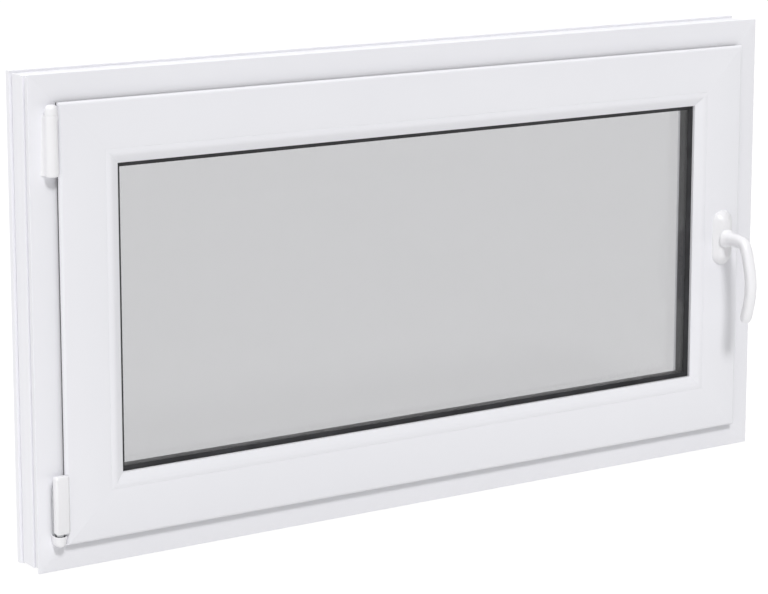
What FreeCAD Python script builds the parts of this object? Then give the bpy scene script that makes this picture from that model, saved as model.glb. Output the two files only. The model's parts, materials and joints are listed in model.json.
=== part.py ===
import FreeCAD, Part
import math
import os

from FreeCAD import Placement, Rotation, Vector

# Tilt and turn window, hinged on the left and handled on the right as seen from the room.
# X runs to the right, Y from the room to the outside, Z up, in millimetres.
# The origin is at the middle of the sill's underside.
# Every profile is drawn as (u, y): u is the distance in from the frame's outer edge.

# Outer frame
frame_width = 1100.0
frame_height = 600.0
frame_depth = 60.0
frame_face = 41.0
frame_flange_height = 20.0
frame_flange_thickness = 10.0
frame_crown_width = 24.0
frame_crown_drop = 1.5
frame_edge_round = 2.0
front_lip = 4.0
front_recess_width = 13.75
front_recess_depth = 4.0
front_notch_width = 2.5
front_notch_depth = 6.0
back_notch_width = 2.5
back_notch_depth = 3.0
back_lip = 8.5

# Sash and its seat in the frame
sash_overlap = 8.0
sash_overlap_thickness = 6.5
sash_overlap_gap = 5.0
sash_back_gap = 5.5
sash_edge_round = 4.0
sash_face = 60.0
rebate_gap = 12.0
upstand_height = 12.0
upstand_bevel_width = 4.0
upstand_bevel_depth = 8.0
joint_chamfer = 0.6

# Glazing
bead_width = 18.0
bead_slope_width = 11.0
bead_slope_drop = 7.0
bead_lip = 1.75
bead_back_step = 1.0
bead_gasket_thickness = 3.0
outer_gasket_thickness = 3.0
gasket_sight = 4.0
gasket_seat = 7.0
pane_thickness = 4.0
cavity_thickness = 16.0
glass_edge_clearance = 5.0
spacer_setback = 1.5
packer_length = 100.0
packer_end_distance = 60.0

# Seals between sash and frame
overlap_gasket_clearance = 0.8
overlap_gasket_width = 4.5
overlap_gasket_setback = 0.8
overlap_gasket_notch = 4.0
frame_gasket_clearance = 0.5
frame_gasket_width = 6.0
frame_gasket_setback = 1.0

# Hinge line, in front of the frame face and beside the sash edge
hinge_axis_setback = 9.0
hinge_axis_stand = 10.0

# Lower hinge
tilt_axis_rise = 7.0
knuckle_radius = 3.0
knuckle_length = 8.0
pivot_clearance = 0.3
cup_radius = 7.3
cup_wall = 1.3
cup_floor = 2.5
cup_height = 13.0
bearing_plate_thickness = 2.5
bearing_plate_width = 14.0
saddle_radius = 4.4
saddle_rise = 0.5
hinge_tab_thickness = 2.5
hinge_cover_rise = 10.0
hinge_cover_length = 70.0
hinge_cover_radius = 7.0
hinge_cover_wall = 2.0
hinge_cover_lap = 3.0
hinge_cover_lap_thickness = 1.5
hinge_core_radius = 4.5
hinge_core_length = 35.0
hinge_leaf_reach = 7.2
hinge_leaf_thickness = 1.8
hinge_leaf_length = 58.0
hinge_web = 3.0
core_clearance = 0.2

# Stay bearing and stay arm at the upper hinge
stay_arm_clearance = 4.0
stay_bearing_length = 72.0
stay_cover_foot = 14.0
stay_cover_radius = 7.5
stay_cover_hollow = 1.0
stay_barrel_radius = 5.5
stay_pin_radius = 3.0
stay_eye_clearance = 0.5
stay_eye_height = 9.0
stay_cap_setback = 1.5
stay_cap_bevel = 2.0
stay_strap_thickness = 2.0
stay_strap_stand = 1.5
stay_strap_height = 4.0
stay_crank_length = 16.0
stay_arm_reach = 240.0
stay_arm_width = 16.0
stay_arm_thickness = 3.0
stay_slider_radius = 3.0
stay_slider_floor = 1.5
stay_slot_length = 13.0
stay_slot_width = 10.0

# Locking strips with mushroom bolts on the sash edges, strikers on the frame
hardware_set_in = 30.0
strip_thickness = 2.5
strip_width = 16.0
strip_end_distance = 45.0
bolt_neck_radius = 2.5
bolt_neck_height = 2.5
bolt_head_radius = 4.5
bolt_head_height = 2.5
bolt_striker_distance = 60.0
striker_height = 6.0
striker_width = 18.0
striker_length = 58.0
striker_bevel = 2.0
striker_end_distance = 130.0

# Handle
handle_stile_offset = 30.0
handle_height = 303.0
rosette_height = 76.0
rosette_width = 34.0
rosette_thickness = 11.0
rosette_round = 4.0
rosette_steps = 3
neck_radius = 10.0
neck_clearance = 0.3
handle_neck_reach = 41.0
handle_bend_reach = 49.5
handle_bow_reach = 59.5
handle_bow_drop = 30.5
handle_grip_reach = 67.0
handle_grip_drop = 68.0
handle_tip_reach = 53.0
handle_tip_drop = 108.0
handle_tip_share = 0.72
handle_sections = 12
grip_width = 16.0
grip_thickness = 14.5
grip_sides = 16

# Drain hoods on the weather side
drain_hood_length = 44.0
drain_hood_height = 14.0
drain_hood_thickness = 3.0
drain_hood_end_distance = 170.0
drain_hood_level = 22.0

# Planes and lines that follow from the sizes above
front_y = -frame_depth / 2
back_y = frame_depth / 2
flange_y = back_y - frame_flange_thickness
flange_u = frame_face + frame_flange_height
overlap_u = frame_face - sash_overlap
sash_u = frame_face + rebate_gap
overlap_back_y = front_y - sash_overlap_gap
sash_front_y = overlap_back_y - sash_overlap_thickness
sash_back_y = flange_y - sash_back_gap
glazing_u = overlap_u + sash_face
lip_u = glazing_u + bead_width
lip_y = sash_front_y + bead_slope_drop + bead_lip
bead_back_y = lip_y + bead_back_step
glass_front_y = bead_back_y + bead_gasket_thickness
cavity_front_y = glass_front_y + pane_thickness
cavity_back_y = cavity_front_y + cavity_thickness
glass_back_y = cavity_back_y + pane_thickness
upstand_y = glass_back_y + outer_gasket_thickness
upstand_u = glazing_u + upstand_height
glass_u = glazing_u + glass_edge_clearance
sight_u = lip_u + gasket_sight
half_width = frame_width / 2
hinge_u = overlap_u - hinge_axis_setback
hinge_x = hinge_u - half_width
hinge_y = front_y - hinge_axis_stand
tilt_z = overlap_u + tilt_axis_rise
cup_bottom_z = tilt_z - cup_height / 2
cup_rim_z = tilt_z + cup_height / 2
cup_floor_z = cup_bottom_z + cup_floor
recess_radius = cup_radius - cup_wall
hinge_cover_z = tilt_z + hinge_cover_rise
hardware_y = hinge_y + hardware_set_in
strip_top_z = frame_height - sash_u + strip_thickness
stay_eye_z = strip_top_z + stay_arm_clearance
stay_bearing_z = stay_eye_z - stay_eye_clearance
stay_cap_z = frame_height - overlap_u - stay_cap_setback
stay_strap_y = front_y - stay_strap_stand
stay_tip_x = hinge_x + stay_arm_reach
handle_x = half_width - overlap_u - handle_stile_offset
rosette_front_y = sash_front_y - rosette_thickness

sides = ("bottom", "left", "top", "right")


# Close a (u, y) outline: a step is a point for a straight edge, or two points for an arc
def section(start, *steps):
    edges = []
    here = start
    for step in steps + (start,):
        if isinstance(step[0], tuple):
            middle, end = step
            points = [Vector(0, y, u) for u, y in (here, middle, end)]
            edges.append(Part.Arc(*points).toShape())
        else:
            end = step
            edges.append(Part.makeLine(Vector(0, here[1], here[0]), Vector(0, end[1], end[0])))
        here = end
    return Part.Face(Part.Wire(edges))


def arc(centre, radius, middle_angle, end_angle):
    points = []
    for angle in (middle_angle, end_angle):
        turn = math.radians(angle)
        points.append((centre[0] + radius * math.cos(turn), centre[1] + radius * math.sin(turn)))
    return tuple(points)


def side_length(side):
    return frame_width if side in ("bottom", "top") else frame_height


# Turn a shape made along the sill round to the given side of the window
def to_side(shape, side):
    turns = {"bottom": 0, "left": 90, "top": 180, "right": -90}
    bases = {
        "bottom": Vector(0, 0, 0),
        "left": Vector(-half_width, 0, frame_height / 2),
        "top": Vector(0, 0, frame_height),
        "right": Vector(half_width, 0, frame_height / 2),
    }
    placed = shape.copy()
    placed.Placement = Placement(bases[side], Rotation(Vector(0, 1, 0), turns[side])) * placed.Placement
    return placed


def straight_run(face, length, middle=0.0):
    return face.translated(Vector(middle - length / 2, 0, 0)).extrude(Vector(length, 0, 0))


# One side of a welded frame: the profile cut off at 45 degrees at both ends
def member(face, side):
    length = side_length(side)
    half = length / 2
    reach = face.BoundBox.ZMax + 1.0
    near = face.BoundBox.YMin - 1.0
    far = face.BoundBox.YMax + 1.0
    corners = [(-half, 0), (half, 0), (half - reach, reach), (reach - half, reach), (-half, 0)]
    mitre = Part.Face(Part.makePolygon([Vector(x, near, z) for x, z in corners]))
    run = straight_run(face, length).common(mitre.extrude(Vector(0, far - near, 0)))
    return to_side(run, side)


def ring(face):
    runs = [member(face, side) for side in sides]
    return runs[0].multiFuse(runs[1:]).removeSplitter()


def block(low, high):
    size = [b - a for a, b in zip(low, high)]
    return Part.makeBox(*size, Vector(*low))


# Round bar on the hinge line
def post(radius, bottom, top):
    return Part.makeCylinder(radius, top - bottom, Vector(hinge_x, hinge_y, bottom))


# Stand a (u, y) outline of the hinge side up as a vertical prism
def upright(face, bottom, top):
    standing = face.copy()
    turn = Placement(Vector(-half_width, 0, bottom), Rotation(Vector(0, 1, 0), 90))
    standing.Placement = turn * standing.Placement
    return standing.extrude(Vector(0, 0, top - bottom))


# Outer frame: crowned room face, rebate, weather flange, key grooves in the wall faces
def frame_section():
    crown_radius = (frame_crown_width ** 2 + frame_crown_drop ** 2) / (2 * frame_crown_drop)
    half_crown = frame_crown_width / 2
    crown_sag = crown_radius - math.sqrt(crown_radius ** 2 - half_crown ** 2)
    nose = (frame_face - frame_edge_round, front_y + frame_edge_round)
    heel = (flange_u - frame_edge_round, back_y - frame_edge_round)
    recess_y = front_y + front_lip
    notch_y = recess_y + front_recess_width
    land_y = notch_y + front_notch_width
    lip_back_y = back_y - back_lip
    return section(
        (0, front_y + frame_crown_drop),
        ((half_crown, front_y + crown_sag), (frame_crown_width, front_y)),
        (nose[0], front_y),
        arc(nose, frame_edge_round, -45, 0),
        (frame_face, flange_y),
        (flange_u, flange_y),
        (flange_u, heel[1]),
        arc(heel, frame_edge_round, 45, 90),
        (0, back_y),
        (0, lip_back_y),
        (back_notch_depth, lip_back_y),
        (back_notch_depth, lip_back_y - back_notch_width),
        (0, lip_back_y - back_notch_width),
        (0, land_y),
        (front_notch_depth, land_y),
        (front_notch_depth, notch_y),
        (front_recess_depth, notch_y),
        (front_recess_depth, recess_y),
        (0, recess_y),
    )


def frame_gasket():
    outer = flange_u - frame_gasket_setback
    inner = outer - frame_gasket_width
    crest = sash_back_y + frame_gasket_clearance
    return ring(section((inner, flange_y), (((inner + outer) / 2, crest), (outer, flange_y))))


# Sash: overlap on the room side, glazing rebate and bevelled weather upstand
def sash_section():
    edge = (overlap_u + sash_edge_round, sash_front_y + sash_edge_round)
    return section(
        (overlap_u, overlap_back_y),
        (overlap_u, edge[1]),
        arc(edge, sash_edge_round, -135, -90),
        (glazing_u - joint_chamfer, sash_front_y),
        (glazing_u, sash_front_y + joint_chamfer),
        (glazing_u, upstand_y),
        (upstand_u, upstand_y),
        (upstand_u, sash_back_y - upstand_bevel_depth),
        (upstand_u - upstand_bevel_width, sash_back_y),
        (sash_u, sash_back_y),
        (sash_u, overlap_back_y),
    )


# The overlap seal is notched where the stay's strap passes
def overlap_gasket():
    inner = overlap_u + overlap_gasket_setback
    outer = inner + overlap_gasket_width
    crest = front_y - overlap_gasket_clearance
    seal = ring(section((inner, overlap_back_y), (((inner + outer) / 2, crest), (outer, overlap_back_y))))
    notch = block(
        (-half_width, overlap_back_y, stay_eye_z - overlap_gasket_notch),
        (-half_width + sash_u, front_y, stay_eye_z + stay_strap_height + overlap_gasket_notch),
    )
    return seal.cut(notch)


# Glazing: round-nosed beads, seals, two panes on a dark spacer, packers under the glass
def bead_section():
    radius = (bead_slope_width ** 2 + bead_slope_drop ** 2) / (2 * bead_slope_drop)
    centre = (lip_u - bead_slope_width, sash_front_y + radius)
    turn = math.degrees(math.asin(bead_slope_width / radius))
    return section(
        (glazing_u, sash_front_y + joint_chamfer),
        (glazing_u + joint_chamfer, sash_front_y),
        (centre[0], sash_front_y),
        arc(centre, radius, turn / 2 - 90, turn - 90),
        (lip_u, bead_back_y),
        (glazing_u, bead_back_y),
    )


def bead_gasket():
    return ring(section(
        (lip_u - gasket_seat, bead_back_y),
        (lip_u, bead_back_y),
        (sight_u, glass_front_y),
        (lip_u - gasket_seat, glass_front_y),
    ))


def outer_gasket():
    return ring(section(
        (upstand_u - gasket_seat, glass_back_y),
        (upstand_u + gasket_sight, glass_back_y),
        (upstand_u, upstand_y),
        (upstand_u - gasket_seat, upstand_y),
    ))


def pane_spacer():
    return ring(section(
        (glass_u + spacer_setback, cavity_front_y),
        (sight_u, cavity_front_y),
        (sight_u, cavity_back_y),
        (glass_u + spacer_setback, cavity_back_y),
    ))


def pane(near_y, far_y):
    low = (glass_u - half_width, near_y, glass_u)
    return block(low, (half_width - glass_u, far_y, frame_height - glass_u))


def glazing_packers():
    packers = []
    for end in (-1, 1):
        middle = end * (half_width - glass_u - packer_end_distance - packer_length / 2)
        low = (middle - packer_length / 2, glass_front_y, glazing_u)
        packers.append(block(low, (middle + packer_length / 2, glass_back_y, glass_u)))
    return Part.makeCompound(packers)


# Lower hinge: a knuckle swivels in the frame's cup, and the sash sits astride it
def cross_bar(radius, length):
    start = Vector(hinge_x - length / 2, hinge_y, tilt_z)
    return Part.makeCylinder(radius, length, start, Vector(1, 0, 0))


def corner_bearing():
    half = bearing_plate_width / 2
    plate = block((hinge_x - half, front_y - bearing_plate_thickness, cup_bottom_z),
                  (hinge_x + half, front_y, cup_rim_z))
    web = block((hinge_x - half / 2, hinge_y, cup_bottom_z), (hinge_x + half / 2, front_y, cup_rim_z))
    cup = post(cup_radius, cup_bottom_z, cup_rim_z)
    recess = post(recess_radius, cup_floor_z, cup_rim_z)
    return cup.multiFuse([web, plate]).removeSplitter().cut(recess)


def pivot_knuckle():
    swivel = post(recess_radius - pivot_clearance, cup_floor_z + pivot_clearance, tilt_z - knuckle_radius / 2)
    return cross_bar(knuckle_radius, knuckle_length).fuse(swivel).removeSplitter()


def hinge_band(left_stile):
    saddle = post(saddle_radius, tilt_z + saddle_rise, hinge_cover_z)
    core = post(hinge_core_radius, hinge_cover_z, hinge_cover_z + hinge_core_length)
    tab = block((hinge_x, hinge_y - saddle_radius / 2, hinge_cover_z - hinge_tab_thickness),
                (overlap_u - half_width, overlap_back_y - joint_chamfer, hinge_cover_z))
    leaf_y = overlap_back_y - joint_chamfer
    leaf_end_y = leaf_y + hinge_leaf_thickness
    leaf = block((hinge_x - hinge_leaf_reach, leaf_y, hinge_cover_z - hinge_tab_thickness),
                 (hinge_x + hinge_leaf_reach, leaf_end_y, hinge_cover_z + hinge_leaf_length))
    web = block((hinge_x - hinge_web / 2, hinge_y, hinge_cover_z),
                (hinge_x + hinge_web / 2, leaf_end_y, hinge_cover_z + hinge_core_length))
    band = saddle.multiFuse([core, tab, web, leaf]).removeSplitter()
    return band.cut(cross_bar(knuckle_radius + pivot_clearance, 2 * saddle_radius)).cut(left_stile)


def hinge_cover(left_stile):
    lap_u = overlap_u + hinge_cover_lap
    back_y_here = overlap_back_y - joint_chamfer
    rise = math.degrees(math.asin((back_y_here - hinge_y) / hinge_cover_radius))
    outline = section(
        (lap_u, sash_front_y),
        (lap_u, sash_front_y - hinge_cover_lap_thickness),
        (hinge_u, hinge_y - hinge_cover_radius),
        arc((hinge_u, hinge_y), hinge_cover_radius, 180, 180 - rise),
        (overlap_u, back_y_here),
    )
    shell = upright(outline, hinge_cover_z, hinge_cover_z + hinge_cover_length)
    pocket = post(hinge_core_radius + core_clearance, hinge_cover_z,
                  hinge_cover_z + hinge_core_length + core_clearance)
    return shell.cut(left_stile).cut(pocket)


# Upper hinge: barrel and pin on the frame under a swept cover
def bearing_core(extra):
    bottom = stay_bearing_z - stay_bearing_length + hinge_cover_wall
    top = stay_bearing_z - hinge_cover_wall + extra
    half = stay_barrel_radius + extra
    foot = block((hinge_x - half, hinge_y, bottom), (hinge_x + half, front_y, top))
    return post(half, bottom, top).fuse(foot)


def stay_bearing():
    core = bearing_core(0)
    pin = post(stay_pin_radius, stay_bearing_z - stay_bearing_length / 2, stay_eye_z + stay_eye_height)
    return core.fuse(pin).removeSplitter()


def stay_cover():
    foot_u = hinge_u - stay_cover_foot
    shoulder_u = hinge_u - stay_cover_radius
    hollow = ((foot_u + shoulder_u) / 2 + stay_cover_hollow, (front_y + hinge_y) / 2 + stay_cover_hollow)
    outline = section(
        (foot_u, front_y),
        (hollow, (shoulder_u, hinge_y)),
        arc((hinge_u, hinge_y), stay_cover_radius, -90, 0),
        (hinge_u + stay_cover_radius, front_y),
    )
    bottom = stay_bearing_z - stay_bearing_length
    shaft = post(stay_pin_radius + pivot_clearance, stay_bearing_z - stay_bearing_length / 2, stay_bearing_z)
    return upright(outline, bottom, stay_bearing_z).cut(bearing_core(core_clearance)).cut(shaft)


# Stay arm: eye on the pin, strap through the overlap gap, crank and bar in the top rebate, slider
def stay_arm():
    eye = post(stay_barrel_radius, stay_eye_z, stay_eye_z + stay_eye_height)
    bore = post(stay_pin_radius + pivot_clearance, stay_eye_z, stay_eye_z + stay_eye_height)
    crank_x = frame_face + rebate_gap / 2 - half_width
    strap_front = stay_strap_y - stay_strap_thickness
    strap_z = stay_eye_z + stay_strap_height
    strap = block((hinge_x, strap_front, stay_eye_z), (crank_x + stay_crank_length, stay_strap_y, strap_z))
    lug = block((hinge_x, hinge_y, stay_eye_z), (hinge_x + stay_barrel_radius, stay_strap_y, strap_z))
    near = hardware_y - stay_arm_width / 2
    far = hardware_y + stay_arm_width / 2
    corners = [
        (crank_x, strap_front),
        (crank_x + stay_crank_length, strap_front),
        (crank_x + 2 * stay_crank_length, near),
        (stay_tip_x, near),
        (stay_tip_x, far),
        (crank_x + stay_crank_length, far),
        (crank_x, near),
    ]
    outline = Part.makePolygon([Vector(x, y, stay_eye_z) for x, y in corners + corners[:1]])
    bar = Part.Face(outline).extrude(Vector(0, 0, stay_arm_thickness))
    tip = Vector(stay_tip_x, hardware_y, stay_eye_z)
    nose = Part.makeCylinder(stay_arm_width / 2, stay_arm_thickness, tip)
    slider_z = strip_top_z - strip_thickness + stay_slider_floor
    slider = Part.makeCylinder(stay_slider_radius, stay_eye_z - slider_z, Vector(tip.x, tip.y, slider_z))
    return eye.multiFuse([lug, strap, bar, nose, slider]).removeSplitter().cut(bore)


def stay_cap():
    bevel_z = stay_cap_z - stay_cap_bevel
    bevel = Part.makeCone(stay_cover_radius, stay_cover_radius - stay_cap_bevel, stay_cap_bevel,
                          Vector(hinge_x, hinge_y, bevel_z))
    cap = post(stay_cover_radius, stay_eye_z, bevel_z).fuse(bevel)
    core = post(stay_barrel_radius + core_clearance, stay_eye_z, stay_eye_z + stay_eye_height + core_clearance)
    mouth = block((hinge_x - core_clearance, hinge_y, stay_eye_z),
                  (hinge_x + stay_cover_radius, front_y, stay_eye_z + stay_strap_height + core_clearance))
    return cap.cut(core).cut(mouth)


# Locking strip on a sash edge with its mushroom bolts, which stand clear of the strikers
def locking_strip(side, bolts):
    near = hardware_y - strip_width / 2
    far = hardware_y + strip_width / 2
    low = sash_u - strip_thickness
    face = section((sash_u, near), (sash_u, far), (low, far), (low, near))
    strip = straight_run(face, side_length(side) - 2 * (sash_u + strip_end_distance))
    pieces = []
    for place in bolts:
        foot = Vector(place, hardware_y, low)
        down = Vector(0, 0, -1)
        pieces.append(Part.makeCylinder(bolt_neck_radius, bolt_neck_height, foot, down))
        pieces.append(Part.makeCylinder(bolt_head_radius, bolt_head_height, foot + down * bolt_neck_height, down))
    return to_side(strip.multiFuse(pieces).removeSplitter(), side)


def stay_slot():
    straight = stay_slot_length - stay_slot_width
    floor = strip_top_z - strip_thickness
    ends = [Vector(stay_tip_x + end * straight / 2, hardware_y, floor) for end in (-1, 1)]
    rounds = [Part.makeCylinder(stay_slot_width / 2, strip_thickness, end) for end in ends]
    middle = block((ends[0].x, hardware_y - stay_slot_width / 2, floor),
                   (ends[1].x, hardware_y + stay_slot_width / 2, strip_top_z))
    return middle.multiFuse(rounds)


def striker(side, place):
    near = hardware_y - striker_width / 2
    far = hardware_y + striker_width / 2
    top = frame_face + striker_height
    face = section(
        (frame_face, near),
        (top - striker_bevel, near),
        (top, near + striker_bevel),
        (top, far - striker_bevel),
        (top - striker_bevel, far),
        (frame_face, far),
    )
    return to_side(straight_run(face, striker_length, place), side)


# Handle: oval rosette with a rounded-over edge, and a bowed lever that hangs down when shut
def oval(inset, y):
    half = rosette_width / 2 - inset
    straight = Vector(0, 0, (rosette_height - rosette_width) / 2)
    centre = Vector(handle_x, y, handle_height)
    side = Vector(half, 0, 0)
    crown = Vector(0, 0, half)
    high = centre + straight
    low = centre - straight
    return Part.Wire([
        Part.makeLine(low + side, high + side),
        Part.Arc(high + side, high + crown, high - side).toShape(),
        Part.makeLine(high - side, low - side),
        Part.Arc(low - side, low - crown, low + side).toShape(),
    ])


def handle_rosette():
    wires = [oval(0, sash_front_y)]
    for step in range(rosette_steps + 1):
        turn = math.pi / 2 * step / rosette_steps
        y = rosette_front_y + rosette_round * (1 - math.sin(turn))
        wires.append(oval(rosette_round * (1 - math.cos(turn)), y))
    plate = Part.makeLoft(wires, True, True)
    bore = Part.makeCylinder(neck_radius + neck_clearance, rosette_thickness / 2,
                             Vector(handle_x, rosette_front_y, handle_height), Vector(0, 1, 0))
    return plate.cut(bore)


def handle_lever():
    def at(reach, drop):
        return Vector(handle_x, sash_front_y - reach, handle_height - drop)

    # Straight out of the rosette, round into the grip, bowed out and then back towards the sash
    path = Part.BSplineCurve()
    path.buildFromPoles([
        at(rosette_thickness / 2 + neck_clearance, 0),
        at(handle_neck_reach, 0),
        at(handle_bend_reach, 0),
        at(handle_bow_reach, handle_bow_drop),
        at(handle_grip_reach, handle_grip_drop),
        at(handle_tip_reach, handle_tip_drop),
    ], False, 3)
    across = Vector(1, 0, 0)
    wires = []
    for step in range(handle_sections + 1):
        share = step / handle_sections
        place = path.FirstParameter + (path.LastParameter - path.FirstParameter) * share
        centre = path.value(place)
        outward = path.tangent(place)[0].cross(across).normalize()
        flatten = math.sin(min(1.0, 2 * share) * math.pi / 2)
        taper = handle_tip_share if step == handle_sections else 1.0
        wide = (neck_radius + (grip_width / 2 - neck_radius) * flatten) * taper
        deep = (neck_radius + (grip_thickness / 2 - neck_radius) * flatten) * taper
        loop = []
        for corner in range(grip_sides + 1):
            turn = 2 * math.pi * (corner % grip_sides) / grip_sides
            loop.append(centre + across * (wide * math.cos(turn)) + outward * (deep * math.sin(turn)))
        wires.append(Part.makePolygon(loop))
    return Part.makeLoft(wires, True, True)


# Weather side: hoods over the drain slots of the sill
def drain_hoods():
    hoods = []
    for end in (-1, 1):
        middle = end * (half_width - drain_hood_end_distance)
        face_y = back_y + drain_hood_thickness
        low = (middle - drain_hood_length / 2, back_y, drain_hood_level - drain_hood_height / 2)
        high = (middle + drain_hood_length / 2, face_y, drain_hood_level + drain_hood_height / 2)
        hood = block(low, high)
        rim = [edge for edge in hood.Edges if edge.BoundBox.YMin > (back_y + face_y) / 2]
        hoods.append(hood.makeChamfer(drain_hood_thickness / 2, rim))
    return Part.makeCompound(hoods)


def build():
    nodes = {}
    frame_names = {"bottom": "frame_sill", "left": "frame_left_jamb", "top": "frame_head",
                   "right": "frame_right_jamb"}
    sash_names = {"bottom": "sash_bottom_rail", "left": "sash_left_stile", "top": "sash_top_rail",
                  "right": "sash_right_stile"}
    for side in sides:
        nodes[frame_names[side]] = member(frame_section(), side)
        nodes[sash_names[side]] = member(sash_section(), side)
        nodes["bead_" + side] = member(bead_section(), side)
    left_stile = nodes["sash_left_stile"]
    nodes["inner_pane"] = pane(glass_front_y, cavity_front_y)
    nodes["outer_pane"] = pane(cavity_back_y, glass_back_y)
    nodes["pane_spacer"] = pane_spacer()
    nodes["glazing_packers"] = glazing_packers()
    nodes["bead_gasket"] = bead_gasket()
    nodes["outer_gasket"] = outer_gasket()
    nodes["frame_gasket"] = frame_gasket()
    nodes["overlap_gasket"] = overlap_gasket()
    nodes["corner_bearing"] = corner_bearing()
    nodes["pivot_knuckle"] = pivot_knuckle()
    nodes["hinge_band"] = hinge_band(left_stile)
    nodes["hinge_cover"] = hinge_cover(left_stile)
    nodes["stay_bearing"] = stay_bearing()
    nodes["stay_bearing_cover"] = stay_cover()
    nodes["stay_arm"] = stay_arm()
    nodes["stay_arm_cap"] = stay_cap()
    upper = frame_height / 2 - striker_end_distance
    far_end = half_width - striker_end_distance
    nodes["striker_upper"] = striker("right", upper)
    nodes["striker_lower"] = striker("right", -upper)
    nodes["striker_head"] = striker("top", -far_end)
    nodes["striker_sill"] = striker("bottom", far_end)
    step = bolt_striker_distance
    nodes["locking_strip_right"] = locking_strip("right", [upper - step, step - upper])
    nodes["locking_strip_top"] = locking_strip("top", [step - far_end]).cut(stay_slot())
    nodes["locking_strip_bottom"] = locking_strip("bottom", [far_end - step])
    nodes["handle_rosette"] = handle_rosette()
    nodes["handle_lever"] = handle_lever()
    nodes["drain_hoods"] = drain_hoods()
    return nodes


os.makedirs("parts", exist_ok=True)
for name, shape in build().items():
    print(name, shape.isValid(), len(shape.Solids), round(shape.Volume))
    shape.exportStep("parts/" + name + ".step")
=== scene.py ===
import bmesh
import bpy
import json
import math
from mathutils import Matrix, Vector


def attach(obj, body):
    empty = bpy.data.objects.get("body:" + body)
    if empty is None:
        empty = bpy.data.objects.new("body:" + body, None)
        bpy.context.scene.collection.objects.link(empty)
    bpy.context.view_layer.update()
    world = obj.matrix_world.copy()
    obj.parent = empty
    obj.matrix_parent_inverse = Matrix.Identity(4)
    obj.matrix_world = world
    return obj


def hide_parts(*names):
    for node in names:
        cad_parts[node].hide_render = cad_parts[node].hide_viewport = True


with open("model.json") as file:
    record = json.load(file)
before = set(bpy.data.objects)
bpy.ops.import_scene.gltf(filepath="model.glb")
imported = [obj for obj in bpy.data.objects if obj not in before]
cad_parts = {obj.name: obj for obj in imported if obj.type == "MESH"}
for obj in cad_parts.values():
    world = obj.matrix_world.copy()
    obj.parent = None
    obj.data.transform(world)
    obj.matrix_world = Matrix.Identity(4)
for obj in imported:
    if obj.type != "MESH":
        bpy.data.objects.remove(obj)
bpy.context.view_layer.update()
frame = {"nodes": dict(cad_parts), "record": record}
nodes = frame["nodes"]
mm = 0.001
scene = bpy.context.scene
sides = ("bottom", "left", "top", "right")
windowSize = {"width": 1100.0, "height": 600.0}
print("window loaded,", len(nodes), "solids")


# one node of a shader or geometry tree, its inputs linked or set
def wire(tree, kind, inputs=None, **settings):
    node = tree.nodes.new(kind)
    for key, value in settings.items():
        setattr(node, key, value)
    for key, value in (inputs or {}).items():
        if isinstance(value, bpy.types.NodeSocket):
            tree.links.new(value, node.inputs[key])
        else:
            node.inputs[key].default_value = value
    return node


def sums(tree, operation, first, second=0.0):
    return wire(tree, "ShaderNodeMath", {0: first, 1: second}, operation=operation).outputs[0]


def vector(tree, x=0.0, y=0.0, z=0.0):
    return wire(tree, "ShaderNodeCombineXYZ", {"X": x, "Y": y, "Z": z}).outputs[0]


# new material, its fixed values on the shader's own sockets
def newFinish(name, sockets):
    mat = bpy.data.materials.new(name)
    mat.use_nodes = True
    shader = mat.node_tree.nodes["Principled BSDF"]
    for label, value in sockets.items():
        shader.inputs[label].default_value = value
    return mat, mat.node_tree, shader


def objectPlace(tree, stretch=(1, 1, 1)):
    spot = wire(tree, "ShaderNodeTexCoord").outputs["Object"]
    return wire(tree, "ShaderNodeMapping", {"Vector": spot, "Scale": stretch}).outputs["Vector"]


# noise fixed to the piece, drawn out into lines by an uneven stretch
def grain(tree, stretch, scale=1.0, detail=2.0):
    fields = {"Vector": objectPlace(tree, stretch), "Scale": scale, "Detail": detail}
    return wire(tree, "ShaderNodeTexNoise", fields).outputs["Fac"]


toneRange = (0.3, 0.7)  # where a pattern leaves its first tone and reaches its second


def twoTone(tree, share, first, second):
    ramp = wire(tree, "ShaderNodeValToRGB", {"Fac": share})
    for i, tone in enumerate((first, second)):
        ramp.color_ramp.elements[i].position = toneRange[i]
        ramp.color_ramp.elements[i].color = (*tone, 1)
    return ramp.outputs["Color"]


def spread(tree, share, low, high):
    fields = {"Value": share, "To Min": low, "To Max": high}
    return wire(tree, "ShaderNodeMapRange", fields).outputs["Result"]


def bumpy(tree, shader, height, look):
    fields = {"Height": height, "Strength": look["bump"], "Distance": look["depth"] * mm}
    tree.links.new(wire(tree, "ShaderNodeBump", fields).outputs["Normal"], shader.inputs["Normal"])


# colour, gloss and relief of a finish, each from its own pattern
def dress(tree, shader, look, tone, gloss, relief):
    tree.links.new(twoTone(tree, tone, look["deep"], look["pale"]), shader.inputs["Base Color"])
    tree.links.new(spread(tree, gloss, *look["gloss"]), shader.inputs["Roughness"])
    bumpy(tree, shader, relief, look)


whitePlastic = {
    "pale": (0.902, 0.901, 0.938),
    "deep": (0.884, 0.883, 0.921),
    "gloss": (0.26, 0.33),
    "ior": 1.5,
    "dieLines": 900.0,  # across the bar
    "dieRun": 1.5,  # along the bar
    "cloud": 5.0,
    "bump": 0.05,
    "depth": 0.005,
}


# extruded plastic: cloudy tone, die lines that run along the bar
def extrudedPlastic(name, along):
    mat, tree, shader = newFinish(name, {"IOR": whitePlastic["ior"]})
    lines = whitePlastic["dieLines"]
    run = whitePlastic["dieRun"]
    streaks = grain(tree, (run, lines, lines) if along == "x" else (lines, lines, run), detail=3.0)
    cloud = grain(tree, (whitePlastic["cloud"],) * 3, detail=3.0)
    dress(tree, shader, whitePlastic, cloud, streaks, streaks)
    return mat


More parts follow.
